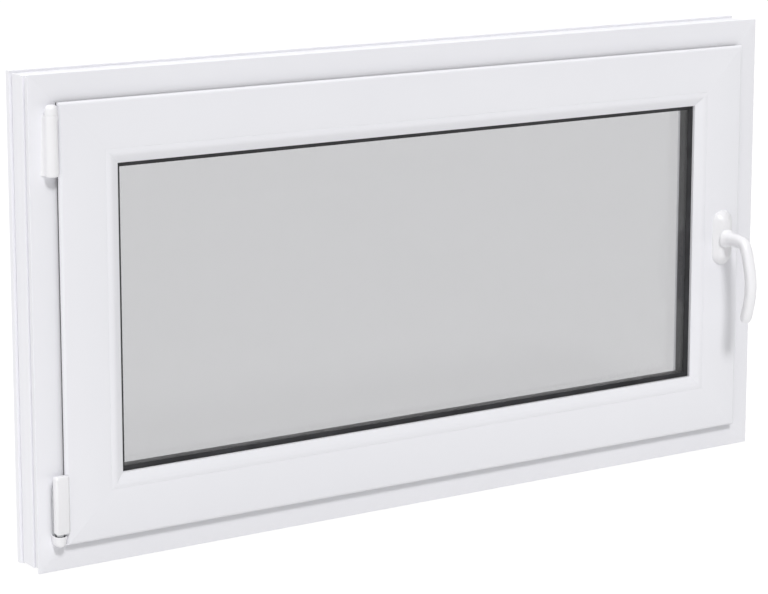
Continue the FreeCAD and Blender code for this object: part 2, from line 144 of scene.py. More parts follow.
mouldedPlastic = {
    "pale": (0.93, 0.925, 0.945),
    "deep": (0.905, 0.90, 0.92),
    "gloss": (0.32, 0.42),
    "ior": 1.5,
    "pits": 1800.0,
    "cloud": 20.0,
    "bump": 0.2,
    "depth": 0.02,
}


# moulded plastic: fine spark texture from the mould
def mouldedCover(name):
    mat, tree, shader = newFinish(name, {"IOR": mouldedPlastic["ior"]})
    pits = grain(tree, (1, 1, 1), mouldedPlastic["pits"])
    cloud = grain(tree, (mouldedPlastic["cloud"],) * 3)
    dress(tree, shader, mouldedPlastic, cloud, pits, pits)
    return mat


powderPaint = {
    "pale": (0.965, 0.96, 0.98),
    "deep": (0.945, 0.94, 0.965),
    "gloss": (0.28, 0.36),
    "sockets": {"IOR": 1.5, "Coat Weight": 0.1, "Coat Roughness": 0.2},
    "peel": 700.0,
    "cloud": 25.0,
    "bump": 0.12,
    "depth": 0.05,
    "rosetteShadeShare": 0.93,  # painted shade: the rosette's coat darker than the lever's, as if less light fell on it
    "hingeShare": 0.97,
}


# powder coat: orange peel, in a more or less bright white; the rosette's dimmer copy is painted shade
def powderCoat(name, bright=1.0):
    mat, tree, shader = newFinish(name, powderPaint["sockets"])
    peel = grain(tree, (1, 1, 1), powderPaint["peel"], 1.0)
    cloud = grain(tree, (powderPaint["cloud"],) * 3)
    look = dict(powderPaint)
    for tone in ("deep", "pale"):
        look[tone] = [bright * part for part in powderPaint[tone]]
    dress(tree, shader, look, cloud, peel, peel)
    return mat


rubberSeal = {
    "black": {"deep": (0.012, 0.012, 0.014), "pale": (0.03, 0.03, 0.034)},
    # near black though it is the grey stop rubber: partly the rubber's own tone, partly painted shade in the
    # gap under the sash's overlap
    "grey": {"deep": (0.02, 0.02, 0.022), "pale": (0.045, 0.045, 0.048)},
    "gloss": (0.38, 0.6),
    "sockets": {"IOR": 1.45, "Sheen Weight": 0.15, "Sheen Roughness": 0.4},
    "pores": 1200.0,
    "bloom": 30.0,
    "bump": 0.25,
    "depth": 0.03,
}


# sealing rubber: fine pores and a cloudy bloom
def sealRubber(name, shade):
    mat, tree, shader = newFinish(name, rubberSeal["sockets"])
    pores = grain(tree, (1, 1, 1), rubberSeal["pores"], 3.0)
    bloom = grain(tree, (rubberSeal["bloom"],) * 3, detail=3.0)
    dress(tree, shader, {**rubberSeal, **rubberSeal[shade]}, bloom, pores, pores)
    return mat


zincPlate = {
    "pale": (0.70, 0.71, 0.72),
    "deep": (0.52, 0.53, 0.55),
    "gloss": (0.22, 0.42),
    "rolling": (12, 700, 700),
    "spangle": 260.0,
    "spangleShare": 0.35,
    "bump": 0.2,
    "depth": 0.01,
}


# zinc plate: rolling lines and pale spangle
def zincSteel(name):
    mat, tree, shader = newFinish(name, {"Metallic": 1.0})
    rolled = grain(tree, zincPlate["rolling"], detail=3.0)
    fields = {"Vector": objectPlace(tree), "Scale": zincPlate["spangle"]}
    spangle = wire(tree, "ShaderNodeTexVoronoi", fields).outputs["Color"]
    mixed = sums(tree, "MULTIPLY_ADD", spangle, zincPlate["spangleShare"])
    tree.links.new(rolled, mixed.node.inputs[2])
    dress(tree, shader, zincPlate, mixed, mixed, rolled)
    return mat


spacerBar = {
    "pale": (0.055, 0.055, 0.06),
    "deep": (0.032, 0.032, 0.036),
    "gloss": (0.35, 0.5),
    "ior": 1.5,
    "mottle": 300.0,
    "bump": 0.15,
    "depth": 0.02,
}


def spacerFinish(name):
    mat, tree, shader = newFinish(name, {"IOR": spacerBar["ior"]})
    mottle = grain(tree, (spacerBar["mottle"],) * 3, detail=3.0)
    dress(tree, shader, spacerBar, mottle, mottle, mottle)
    return mat


floatGlass = {
    "sockets": {
        "Base Color": (0.742, 0.742, 0.75, 1), "IOR": 1.45, "Transmission Weight": 1.0, "Roughness": 0.0,
    },
    "ripple": (3, 3, 9),
    "bump": 0.05,
    "depth": 0.004,
}


# float glass: clear grey, with the faint long ripple of the float line
def clearGlass(name):
    mat, tree, shader = newFinish(name, floatGlass["sockets"])
    bumpy(tree, shader, grain(tree, floatGlass["ripple"], detail=1.0), floatGlass)
    return mat


levelPlastic = extrudedPlastic("levelProfilePlastic", "x")
uprightPlastic = extrudedPlastic("uprightProfilePlastic", "z")
coverPlastic = mouldedCover("mouldedCoverPlastic")
handlePaint = powderCoat("whitePowderCoat")
# the rosette's coat is the lever's made darker: painted shade
shadedRosettePaint = powderCoat("shadedRosetteCoat", powderPaint["rosetteShadeShare"])
hingePaint = powderCoat("whiteHingeCoat", powderPaint["hingeShare"])
blackRubber = sealRubber("blackGlazingRubber", "black")
# stop rubber deepened towards black: partly painted shade in the gap
stopRubberAndGapShade = sealRubber("stopRubberAndGapShadeFinish", "grey")
zinc = zincSteel("zincPlatedSteel")
darkSpacer = spacerFinish("darkSpacerBar")
glass = clearGlass("clearFloatGlass")
slotFinish = {
    "white_profile": levelPlastic,
    "white_bead": levelPlastic,
    "glass": glass,
    "spacer": darkSpacer,
    "black_gasket": blackRubber,
    "grey_gasket": stopRubberAndGapShade,
    "white_cap": coverPlastic,
    "hinge_metal": hingePaint,
    "zinc_steel": zinc,
    "white_handle": handlePaint,
}
for part in frame["record"]["subparts"]:
    for held in nodes[part["node"]].material_slots:
        held.material = slotFinish[part["material_slot"]]
print("finishes made,", len(bpy.data.materials))


# put a finished mesh into the window
def addPiece(name, mesh, body, slotName, *stoodFor):
    piece = bpy.data.objects.new(name, mesh)
    mesh.name = name
    scene.collection.objects.link(piece)
    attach(piece, body)
    if stoodFor:
        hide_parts(*stoodFor)


# empty geometry tree with named inputs, and the identifier of each
def growTree(name, sockets):
    tree = bpy.data.node_groups.new(name, "GeometryNodeTree")
    keys = {}
    for label, kind in sockets:
        socket = tree.interface.new_socket(label, in_out="INPUT", socket_type="NodeSocket" + kind)
        keys[label] = socket.identifier
    tree.interface.new_socket("Mesh", in_out="OUTPUT", socket_type="NodeSocketGeometry")
    return tree, keys, wire(tree, "NodeGroupInput").outputs


# run a tree once and keep the plain mesh
def runTree(tree, keys, values, base=None):
    carrier = bpy.data.objects.new("carrier", base or bpy.data.meshes.new("carrier"))
    scene.collection.objects.link(carrier)
    grown = carrier.modifiers.new("grown", "NODES")
    grown.node_group = tree
    for label, value in values.items():
        grown[keys[label]] = value
    bpy.context.view_layer.update()
    shown = carrier.evaluated_get(bpy.context.evaluated_depsgraph_get())
    mesh = bpy.data.meshes.new_from_object(shown)
    carrier.modifiers.remove(grown)
    bpy.data.objects.remove(carrier)
    return mesh


def compare(tree, first, second, operation):
    return wire(tree, "FunctionNodeCompare", {0: first, 1: second}, operation=operation).outputs[0]


def moved(tree, geometry, fields):
    return wire(tree, "GeometryNodeSetPosition", {0: geometry, **fields}).outputs[0]


# end of a tree of copies: real meshes in one finish
def finishCopies(tree, copies, mat):
    real = wire(tree, "GeometryNodeRealizeInstances", {0: copies}).outputs[0]
    dressed = wire(tree, "GeometryNodeSetMaterial", {0: real, "Material": mat}).outputs[0]
    wire(tree, "NodeGroupOutput", {0: dressed})


# smooth faces, with a sharp edge wherever two faces meet at more than the crease angle
def creased(tree, geometry, crease):
    smooth = wire(tree, "GeometryNodeSetShadeSmooth", {0: geometry}, domain="FACE").outputs[0]
    angle = wire(tree, "GeometryNodeInputMeshEdgeAngle").outputs["Unsigned Angle"]
    sharp = compare(tree, angle, crease, "GREATER_THAN")
    fields = {0: smooth, "Selection": sharp, "Shade Smooth": False}
    return wire(tree, "GeometryNodeSetShadeSmooth", fields, domain="EDGE").outputs[0]


cornerWeld = {"width": 0.13, "depth": 0.09, "crease": 28.0, "merge": 0.004}


# four bars of one profile, cut at 45 degrees and welded, with a hairline groove at each corner
def mitredRingTree():
    tree, keys, given = growTree("mitredRing", [
        ("Profile", "Object"), ("Width", "Float"), ("Height", "Float"),
        ("Seam Width", "Float"), ("Seam Depth", "Float"), ("Crease", "Float"),
        ("Level Finish", "Material"), ("Upright Finish", "Material"),
    ])
    halfWide = sums(tree, "MULTIPLY", given["Width"], 0.5)
    halfHigh = sums(tree, "MULTIPLY", given["Height"], 0.5)
    leftEdge = sums(tree, "MULTIPLY", given["Width"], -0.5)
    profile = wire(tree, "GeometryNodeObjectInfo", {"Object": given["Profile"]}).outputs["Geometry"]
    position = wire(tree, "GeometryNodeInputPosition").outputs[0]
    place = wire(tree, "ShaderNodeSeparateXYZ", {0: position}).outputs
    away = sums(tree, "ABSOLUTE", place["X"])
    normal = wire(tree, "GeometryNodeInputNormal").outputs[0]
    inward = sums(tree, "MULTIPLY", given["Seam Depth"], -1.0)
    sink = wire(tree, "ShaderNodeVectorMath", {0: normal, "Scale": inward}, operation="SCALE").outputs[0]
    centres = {
        "bottom": {},
        "left": {"x": leftEdge, "z": halfHigh},
        "top": {"z": given["Height"]},
        "right": {"x": halfWide, "z": halfHigh},
    }
    joined = wire(tree, "GeometryNodeJoinGeometry")
    for side, turn in zip(sides, (0, 90, 180, -90)):
        upright = side in ("left", "right")
        half = halfHigh if upright else halfWide
        # four stations: two ends, and two lips beside them where the groove starts
        ends = {"Start": vector(tree, sums(tree, "MULTIPLY", half, -1.0)), "End": vector(tree, half)}
        line = wire(tree, "GeometryNodeCurvePrimitiveLine", ends).outputs[0]
        stations = wire(tree, "GeometryNodeResampleCurve", {"Curve": line, "Count": 4}).outputs[0]
        nearEnd = sums(tree, "SUBTRACT", half, given["Seam Width"])
        lip = sums(tree, "MULTIPLY", sums(tree, "SIGN", place["X"]), nearEnd)
        middle = compare(tree, away, sums(tree, "MULTIPLY", half, 0.6), "LESS_THAN")
        path = moved(tree, stations, {"Selection": middle, "Position": vector(tree, lip)})
        bar = wire(tree, "GeometryNodeCurveToMesh", {"Curve": path, "Profile Curve": profile}).outputs[0]
        # the ends sink by the groove's depth, then the bar is slanted to its mitres
        last = sums(tree, "SUBTRACT", half, sums(tree, "MULTIPLY", given["Seam Width"], 0.5))
        atEnd = compare(tree, away, last, "GREATER_THAN")
        grooved = moved(tree, bar, {"Selection": atEnd, "Offset": sink})
        shrink = sums(tree, "SUBTRACT", 1.0, sums(tree, "DIVIDE", place["Z"], half))
        slant = sums(tree, "MULTIPLY", place["X"], shrink)
        cut = moved(tree, grooved, {"Position": vector(tree, slant, place["Y"], place["Z"])})
        placed = wire(tree, "GeometryNodeTransform", {
            0: cut, "Translation": vector(tree, **centres[side]), "Rotation": (0, math.radians(turn), 0),
        }).outputs[0]
        finishOf = given["Upright Finish"] if upright else given["Level Finish"]
        dressed = wire(tree, "GeometryNodeSetMaterial", {0: placed, "Material": finishOf}).outputs[0]
        tree.links.new(dressed, joined.inputs[0])
    fields = {0: joined.outputs[0], "Distance": cornerWeld["merge"] * mm}
    welded = wire(tree, "GeometryNodeMergeByDistance", fields).outputs[0]
    shaded = creased(tree, welded, given["Crease"])
    real = wire(tree, "GeometryNodeRealizeInstances", {0: shaded}).outputs[0]
    wire(tree, "NodeGroupOutput", {0: real})
    return tree, keys


straightCorner = 1.57  # half angle past which a corner hardly turns and stays a point


# corners as (u, y, radius), u in from the frame's outer edge
def rounded(corners, steps=5):
    outline = []
    for i, (u, y, radius) in enumerate(corners):
        here = Vector((u, y))
        back = (Vector(corners[i - 1][:2]) - here).normalized()
        onward = (Vector(corners[(i + 1) % len(corners)][:2]) - here).normalized()
        half = back.angle(onward) / 2
        if radius == 0 or half > straightCorner:
            outline.append(here)
            continue
        centre = here + (back + onward).normalized() * (radius / math.sin(half))
        first = here + back * (radius / math.tan(half)) - centre
        last = here + onward * (radius / math.tan(half)) - centre
        sweep = math.atan2(first.cross(last), first.dot(last))
        for step in range(steps + 1):
            turn = math.atan2(first.y, first.x) + sweep * step / steps
            outline.append(centre + radius * Vector((math.cos(turn), math.sin(turn))))
    return outline


def profileCurve(name, outline):
    area = sum(a.cross(b) for a, b in zip(outline, outline[1:] + outline[:1]))
    ordered = outline if area < 0 else outline[::-1]
    curve = bpy.data.curves.new(name, "CURVE")
    spline = curve.splines.new("POLY")
    spline.points.add(len(ordered) - 1)
    for point, spot in zip(spline.points, ordered):
        point.co = (-spot.y * mm, -spot.x * mm, 0, 1)
    spline.use_cyclic_u = True
    holder = bpy.data.objects.new(name, curve)
    scene.collection.objects.link(holder)
    return holder


ringTree, ringKeys = mitredRingTree()


def mitredRing(name, bar, body, slotName, level, upright, groove=cornerWeld["depth"]):
    profile = profileCurve(name + "Profile", rounded(bar["corners"], bar["steps"]))
    mesh = runTree(ringTree, ringKeys, {
        "Profile": profile,
        "Width": windowSize["width"] * mm,
        "Height": windowSize["height"] * mm,
        "Seam Width": cornerWeld["width"] * mm,
        "Seam Depth": groove * mm,
        "Crease": math.radians(cornerWeld["crease"]),
        "Level Finish": level,
        "Upright Finish": upright,
    })
    bpy.data.objects.remove(profile)
    addPiece(name, mesh, body, slotName, *bar["standsFor"])


# outer frame: crowned room face, rebate, weather flange, stepped wall faces with key grooves
outerFrame = {
    "corners": [
        (0, -28.5, 0.5), (12.04, -30, 180), (41, -30, 2), (41, 20, 0.6), (61, 20, 0.8), (61, 30, 2),
        (0, 30, 0.6), (0, 21.5, 0.5), (4.8, 21.5, 0.3), (4.8, 19, 0.3), (2.6, 19, 0.5), (2.6, -9.75, 0.5),
        (6, -9.75, 0.3), (6, -12.25, 0.3), (4, -12.25, 0.5), (4, -26, 0.4), (0, -26, 0.5),
    ],
    "steps": 5,
    "standsFor": ("frame_sill", "frame_left_jamb", "frame_head", "frame_right_jamb"),
}
mitredRing("weldedFrame", outerFrame, "frame", "white_profile", levelPlastic, uprightPlastic)

# sash: overlap on the room side, glazing rebate and bevelled weather upstand
sashBar = {
    "corners": [
        (33, -35, 0.8), (33, -41.5, 4), (93, -41.5, 0.35), (93, -1.75, 0), (105, -1.75, 0.4),
        (105, 6.5, 1.2), (101, 14.5, 1.2), (53, 14.5, 1.0), (53, -35, 0.6),
    ],
    "steps": 5,
    "standsFor": ("sash_bottom_rail", "sash_left_stile", "sash_top_rail", "sash_right_stile"),
}
mitredRing("weldedSash", sashBar, "sash", "white_profile", levelPlastic, uprightPlastic)

# glazing bead: low crown beside the sash, long slope towards the glass, small lip against the seal
glazingBead = {
    "corners": [
        (93, -41.5, 0.3), (99.5, -42.3, 12), (111, -36.4, 0.7), (111, -31.75, 0.4), (93, -31.75, 0),
    ],
    "steps": 7,
    "standsFor": ["bead_" + side for side in sides],
}
mitredRing("glazingBeads", glazingBead, "sash", "white_bead", levelPlastic, uprightPlastic)

# seals: glazing wedges with soft noses, and the stop seal in the frame's rebate
beadSeal = {
    "corners": [
        (104, -31.75, 0), (112.6, -31.75, 0.8), (117, -29.3, 0.5), (116.6, -28.75, 0), (104, -28.75, 0),
    ],
    "steps": 5,
    "standsFor": ["bead_gasket"],
}
outerSeal = {
    "corners": [(98, -4.75, 0), (108.6, -4.75, 0), (109, -4.2, 0.5), (106.2, -1.75, 0.8), (98, -1.75, 0)],
    "steps": 5,
    "standsFor": ["outer_gasket"],
}
stopSeal = {
    "corners": [
        (54, 20, 0), (54, 18, 0.6), (55.6, 16.4, 0.6), (57, 15, 0.9), (60, 17.4, 0.8), (60, 20, 0),
    ],
    "steps": 5,
    "standsFor": ["frame_gasket"],
}
mitredRing("beadSeal", beadSeal, "sash", "black_gasket", blackRubber, blackRubber, groove=0.0)
mitredRing("outerSeal", outerSeal, "sash", "black_gasket", blackRubber, blackRubber, groove=0.0)
mitredRing("stopSeal", stopSeal, "frame", "grey_gasket", stopRubberAndGapShade, stopRubberAndGapShade, groove=0.0)
print("profiles swept")


# closed skin over rings of points, with sharp edges past the crease angle
def skin(rings, mat, crease=38.0):
    form = bmesh.new()
    loops = [[form.verts.new(Vector(spot) * mm) for spot in ring] for ring in rings]
    for low, high in zip(loops, loops[1:]):
        for i in range(len(low)):
            j = (i + 1) % len(low)
            form.faces.new((low[i], low[j], high[j], high[i]))
    form.faces.new(loops[0][::-1])
    form.faces.new(loops[-1])
    bmesh.ops.recalc_face_normals(form, faces=form.faces)
    for face in form.faces:
        face.smooth = True
    for edge in form.edges:
        edge.smooth = edge.calc_face_angle(0) < math.radians(crease)
    mesh = bpy.data.meshes.new("skin")
    form.to_mesh(mesh)
    form.free()
    mesh.materials.append(mat)
    return mesh


# outline in (x, y) drawn in towards its middle by a share
def drawnIn(outline, share, z):
    middle = sum(outline, Vector((0, 0))) / len(outline)
    drawn = [middle + (spot - middle) * (1 - share) for spot in outline]
    return [(spot.x, spot.y, z) for spot in drawn]


# factor that squares a circle off: a power of 2 is round, more is squarer
def squared(c, s, power):
    return (abs(c) ** power + abs(s) ** power) ** (-1 / power)


hingeLine = {"x": -526.0, "y": -40.0}

# lower hinge cover: bevelled cap round the knuckle, its levels as (z, share drawn in)
lowerCover = {
    "outline": [(-514.0, -41.3, 0), (-514.0, -43.4, 0.8), (-517.0, -46.0, 1.6), (-532.9, -47.2, 2.6),
                (-532.6, -35.7, 1.4), (-516.6, -35.7, 0), (-516.6, -41.3, 0)],
    "steps": 6,
    "levels": [(50.0, 0.05), (50.6, 0.0), (115.5, 0.0), (117.6, 0.03), (119.2, 0.10), (120.0, 0.22)],
}
coverOutline = rounded(lowerCover["outline"], lowerCover["steps"])
coverRings = [drawnIn(coverOutline, share, z) for z, share in lowerCover["levels"]]
addPiece("lowerHingeCover", skin(coverRings, coverPlastic), "sash", "white_cap", "hinge_cover")

# stay bearing cover: round bar whose foot flows out on to the frame, more so at its lower end
stayCover = {
    "radius": 7.6, "back": 10.8, "arc": (148, 360), "points": 28,
    "flareRoot": 6.75, "flareFrom": 4.6, "flareDeep": 5.3, "flareLow": 3.4, "flareHigh": 0.5, "flareSteps": 12,
    "bridge": 0.8, "bridgePower": 3, "gapFrom": 497.0, "gapTo": 547.0,
    "levels": [(481.0, 0.07), (481.3, 0.03), (482.0, 0.008), (484.0, 0.0), (497.0, 0.0), (500.0, 0.0),
               (520.0, 0.0), (545.0, 0.0), (548.0, 0.0), (553.0, 0.0), (553.25, 0.02)],
}


def arcAt(radius, first, last, steps):
    turns = [math.radians(first + (last - first) * step / steps) for step in range(steps + 1)]
    return [Vector((math.cos(turn), math.sin(turn))) * radius for turn in turns]


# hollow flare, round front, straight right side, all relative to the hinge line
def stayCoverRing(z, share):
    low = stayCover["levels"][0][0]
    high = stayCover["levels"][-1][0]
    wide = stayCover["flareLow"] + (stayCover["flareHigh"] - stayCover["flareLow"]) * (z - low) / (high - low)
    reach = 0.0 if stayCover["gapFrom"] < z < stayCover["gapTo"] else stayCover["bridge"]
    outline = [Vector((-stayCover["flareRoot"] - wide, stayCover["back"]))]
    for step in range(stayCover["flareSteps"] + 1):
        turn = math.pi / 2 * (1 - step / stayCover["flareSteps"])
        x = wide * (math.cos(turn) - 1) - stayCover["flareRoot"]
        outline.append(Vector((x, stayCover["flareFrom"] + stayCover["flareDeep"] * math.sin(turn))))
    outline += arcAt(stayCover["radius"], *stayCover["arc"], stayCover["points"])
    outline.append(Vector((stayCover["radius"], stayCover["back"])))
    ring = []
    for spot in outline:
        x = spot.x + reach * max(0.0, spot.x / stayCover["radius"]) ** stayCover["bridgePower"]
        ring.append((hingeLine["x"] + x * (1 - share), hingeLine["y"] + spot.y * (1 - share), z))
    return ring


stayRings = [stayCoverRing(z, share) for z, share in stayCover["levels"]]
addPiece("stayBearingCover", skin(stayRings, coverPlastic), "frame", "white_cap", "stay_bearing_cover")

# cap on the stay arm: carries the bar on, rounded off at its top, fuller towards the sash
stayCap = {
    "bottom": 553.4, "top": 565.5, "radius": 7.6, "fuller": 0.08, "blunt": 3.4, "points": 48,
    "shares": (0, 0.15, 0.3, 0.45, 0.6, 0.72, 0.82, 0.9, 0.95, 0.985, 0.998),  # of its height
}


def stayCapRing(share):
    radius = stayCap["radius"] * max(0.0, 1 - share ** stayCap["blunt"]) ** (1 / stayCap["blunt"])
    z = stayCap["bottom"] + (stayCap["top"] - stayCap["bottom"]) * share
    ring = []
    for i in range(stayCap["points"]):
        turn = 2 * math.pi * i / stayCap["points"]
        wide = radius * (1 + stayCap["fuller"] * max(0.0, math.cos(turn)) ** 2)
        ring.append((hingeLine["x"] + wide * math.cos(turn), hingeLine["y"] + radius * math.sin(turn), z))
    return ring


capRings = [stayCapRing(share) for share in stayCap["shares"]]
addPiece("stayArmCap", skin(capRings, coverPlastic), "stay", "white_cap", "stay_arm_cap")

# lower cup on the frame: bowl with a flared rim and a flat back, and a well for the swivelling knuckle
bearingCup = {
    "levels": [(33.5, 3.4), (33.9, 4.6), (34.8, 5.7), (36.2, 6.5), (38.2, 7.05), (41.0, 7.4), (44.6, 7.9),
               (45.7, 8.25), (46.2, 8.3), (46.5, 8.1)],
    "well": [(46.5, 6.5), (46.1, 6.1), (36.2, 6.0)],
    "back": 10.4, "square": 7.0, "points": 64,
}


def cupRing(z, radius, back=None):
    ring = []
    for i in range(bearingCup["points"]):
        c = math.cos(2 * math.pi * i / bearingCup["points"])
        s = math.sin(2 * math.pi * i / bearingCup["points"])
        if back and s > 0:
            bulge = squared(c, s, bearingCup["square"])
            spot = (radius * c * bulge, back * s * bulge)
        else:
            spot = (radius * c, radius * s)
        ring.append((hingeLine["x"] + spot[0], hingeLine["y"] + spot[1], z))
    return ring


cupRings = [cupRing(z, radius, bearingCup["back"]) for z, radius in bearingCup["levels"]]
cupRings += [cupRing(z, radius) for z, radius in bearingCup["well"]]
addPiece("cornerBearingCup", skin(cupRings, hingePaint), "frame", "hinge_metal", "corner_bearing")

# handle rosette: soft oval dome, closed under the lever's neck
rosette = {
    "x": 487.0, "z": 303.0, "width": 34.0, "height": 76.0, "back": -41.5, "front": -52.5,
    "rim": 0.5, "dome": 13.0, "fullness": 1.35, "points": 72, "steps": 14, "crease": 50.0,
}


def rosetteRing(inset, y):
    half = rosette["width"] / 2 - inset
    straight = (rosette["height"] - rosette["width"]) / 2
    ring = []
    for i in range(rosette["points"]):
        turn = 2 * math.pi * (i + 0.5) / rosette["points"]
        lift = straight if math.sin(turn) > 0 else -straight
        ring.append((rosette["x"] + half * math.cos(turn), y, rosette["z"] + half * math.sin(turn) + lift))
    return ring


def rosetteRings():
    rings = [rosetteRing(0.0, rosette["back"])]
    tall = rosette["back"] - rosette["front"] - rosette["rim"]
    full = rosette["fullness"]
    for step in range(rosette["steps"] + 1):
        along = (step / rosette["steps"]) ** 2  # closer together at the rim
        rise = rosette["rim"] + tall * (1 - (1 - along) ** full) ** (1 / full)
        rings.append(rosetteRing(rosette["dome"] * along, rosette["back"] - rise))
    return rings


rosetteSkin = skin(rosetteRings(), shadedRosettePaint, rosette["crease"])
addPiece("handleRosette", rosetteSkin, "sash", "white_handle", "handle_rosette")

# handle lever: neck that flares at its root, tight bend, oval grip bowed back towards the sash
lever = {
    "route": [(11.2, 0), (41, 0), (49.5, 0), (59.5, 30.5), (67, 68), (53, 108)],  # reach and drop
    "routeOrder": 4, "routeSteps": 16,
    "neck": 9.4, "flare": 3.2, "flareLength": 13.0, "rootEdge": 0.5,
    "gripWide": 8.0, "gripDeep": 7.2, "gripFrom": 0.5,  # share of the route where the neck has become the grip
    "points": 48, "square": 2.3, "tipRound": 2.2, "tipShare": 0.8, "crease": 50.0,
}


def leverRoute():
    curve = bpy.data.curves.new("leverRoute", "CURVE")
    curve.dimensions = "3D"
    spline = curve.splines.new("NURBS")
    spline.points.add(len(lever["route"]) - 1)
    for point, (reach, drop) in zip(spline.points, lever["route"]):
        point.co = (rosette["x"], rosette["back"] - reach, rosette["z"] - drop, 1)
    spline.order_u = lever["routeOrder"]
    spline.use_endpoint_u = True
    spline.resolution_u = lever["routeSteps"]
    holder = bpy.data.objects.new("leverRoute", curve)
    scene.collection.objects.link(holder)
    bpy.context.view_layer.update()
    line = bpy.data.meshes.new_from_object(holder.evaluated_get(bpy.context.evaluated_depsgraph_get()))
    spots = [vertex.co.copy() for vertex in line.vertices]
    bpy.data.objects.remove(holder)
    bpy.data.meshes.remove(line)
    return spots


def leverRing(spot, along, wide, deep):
    across = Vector((1, 0, 0))
    outward = along.cross(across).normalized()
    ring = []
    for i in range(lever["points"]):
        turn = 2 * math.pi * i / lever["points"]
        c = math.cos(turn)
        s = math.sin(turn)
        bulge = squared(c, s, lever["square"])
        ring.append(spot + across * (wide * c * bulge) + outward * (deep * s * bulge))
    return ring


def leverRings():
    spots = leverRoute()
    runs = [0.0]  # length along the route at each spot
    for a, b in zip(spots, spots[1:]):
        runs.append(runs[-1] + (b - a).length)
    rings = []
    for i, spot in enumerate(spots):
        along = (spots[min(i + 1, len(spots) - 1)] - spots[max(i - 1, 0)]).normalized()
        share = i / (len(spots) - 1)
        flat = math.sin(min(1.0, share / lever["gripFrom"]) * math.pi / 2)
        left = runs[-1] - runs[i]
        tip = 1.0
        if left < lever["tipRound"]:
            dip = 1 - left / lever["tipRound"]
            tip = 1 - (1 - lever["tipShare"]) * (1 - math.sqrt(1 - dip * dip))
        root = max(0.0, 1 - runs[i] / lever["flareLength"])
        neck = lever["neck"] + lever["flare"] * root ** 2
        wide = neck + (lever["gripWide"] - lever["neck"]) * flat
        deep = neck + (lever["gripDeep"] - lever["neck"]) * flat
        if i == 0:
            rings.append(leverRing(spot, along, wide - lever["rootEdge"], deep - lever["rootEdge"]))
            spot = spot + along * lever["rootEdge"]
        rings.append(leverRing(spot, along, wide * tip, deep * tip))
    return rings


leverSkin = skin(leverRings(), handlePaint, lever["crease"])
addPiece("handleLever", leverSkin, "handle", "white_handle", "handle_lever")
print("hinge covers and handle made")


# drain hoods on the weather side: low rounded caps, their levels as (y, share drawn in)
drainHood = {
    "middles": (-380.0, 380.0), "level": 22.0, "length": 44.0, "height": 14.0, "corner": 4.0, "steps": 6,
    "levels": [(30.0, 0.0), (31.4, 0.0), (32.2, 0.04), (32.7, 0.1), (33.0, 0.2)],
}


def hoodRings(middle):
    long = drainHood["length"] / 2
    high = drainHood["height"] / 2
    corners = ((long, high), (-long, high), (-long, -high), (long, -high))
    outline = rounded([(*corner, drainHood["corner"]) for corner in corners], drainHood["steps"])
    rings = []
    for y, share in drainHood["levels"]:
        keep = Vector((1 - share * high / long, 1 - share))
        spots = [(middle + spot.x * keep.x, y, drainHood["level"] + spot.y * keep.y) for spot in outline]
        rings.append(spots)
    return rings


hoods = bmesh.new()
for middle in drainHood["middles"]:
    hoods.from_mesh(skin(hoodRings(middle), coverPlastic))
hoodMesh = bpy.data.meshes.new("drainHoods")
hoods.to_mesh(hoodMesh)
hoods.free()
hoodMesh.materials.append(coverPlastic)
addPiece("drainHoods", hoodMesh, "frame", "white_cap", "drain_hoods")

screw = {
    "radius": 3.6, "height": 0.9, "crossLength": 3.4, "crossWidth": 0.9, "sides": 24,
    "rimShare": 0.72, "crossDepth": 1.2,  # shares of the head's radius and height
}


# cross-head screws, one on every point of a mesh, turned to the point's facing
def screwTree():
    tree, keys, given = growTree("crossHeadScrews", [
        ("Points", "Geometry"), ("Head Radius", "Float"), ("Head Height", "Float"),
        ("Cross Length", "Float"), ("Cross Width", "Float"), ("Finish", "Material"),
    ])
    rim = sums(tree, "MULTIPLY", given["Head Radius"], screw["rimShare"])
    slotted = wire(tree, "GeometryNodeMeshCone", {
        "Vertices": screw["sides"], "Radius Top": rim, "Radius Bottom": given["Head Radius"],
        "Depth": given["Head Height"],
    }).outputs["Mesh"]
    deep = sums(tree, "MULTIPLY", given["Head Height"], screw["crossDepth"])
    lift = vector(tree, z=given["Head Height"])
    for wide, long in (("Cross Length", "Cross Width"), ("Cross Width", "Cross Length")):
        size = vector(tree, given[wide], given[long], deep)
        bar = wire(tree, "GeometryNodeMeshCube", {"Size": size}).outputs["Mesh"]
        cutter = wire(tree, "GeometryNodeTransform", {0: bar, "Translation": lift}).outputs[0]
        fields = {0: slotted, 1: cutter}
        slotted = wire(tree, "GeometryNodeMeshBoolean", fields, operation="DIFFERENCE").outputs[0]
    stored = wire(tree, "GeometryNodeInputNamedAttribute", {"Name": "facing"}, data_type="FLOAT_VECTOR")
    turn = wire(tree, "FunctionNodeAlignRotationToVector", {"Vector": stored.outputs[0]}, axis="Z").outputs[0]
    copies = wire(tree, "GeometryNodeInstanceOnPoints", {
        "Points": given["Points"], "Instance": slotted, "Rotation": turn,
    }).outputs[0]
    finishCopies(tree, copies, given["Finish"])
    return tree, keys


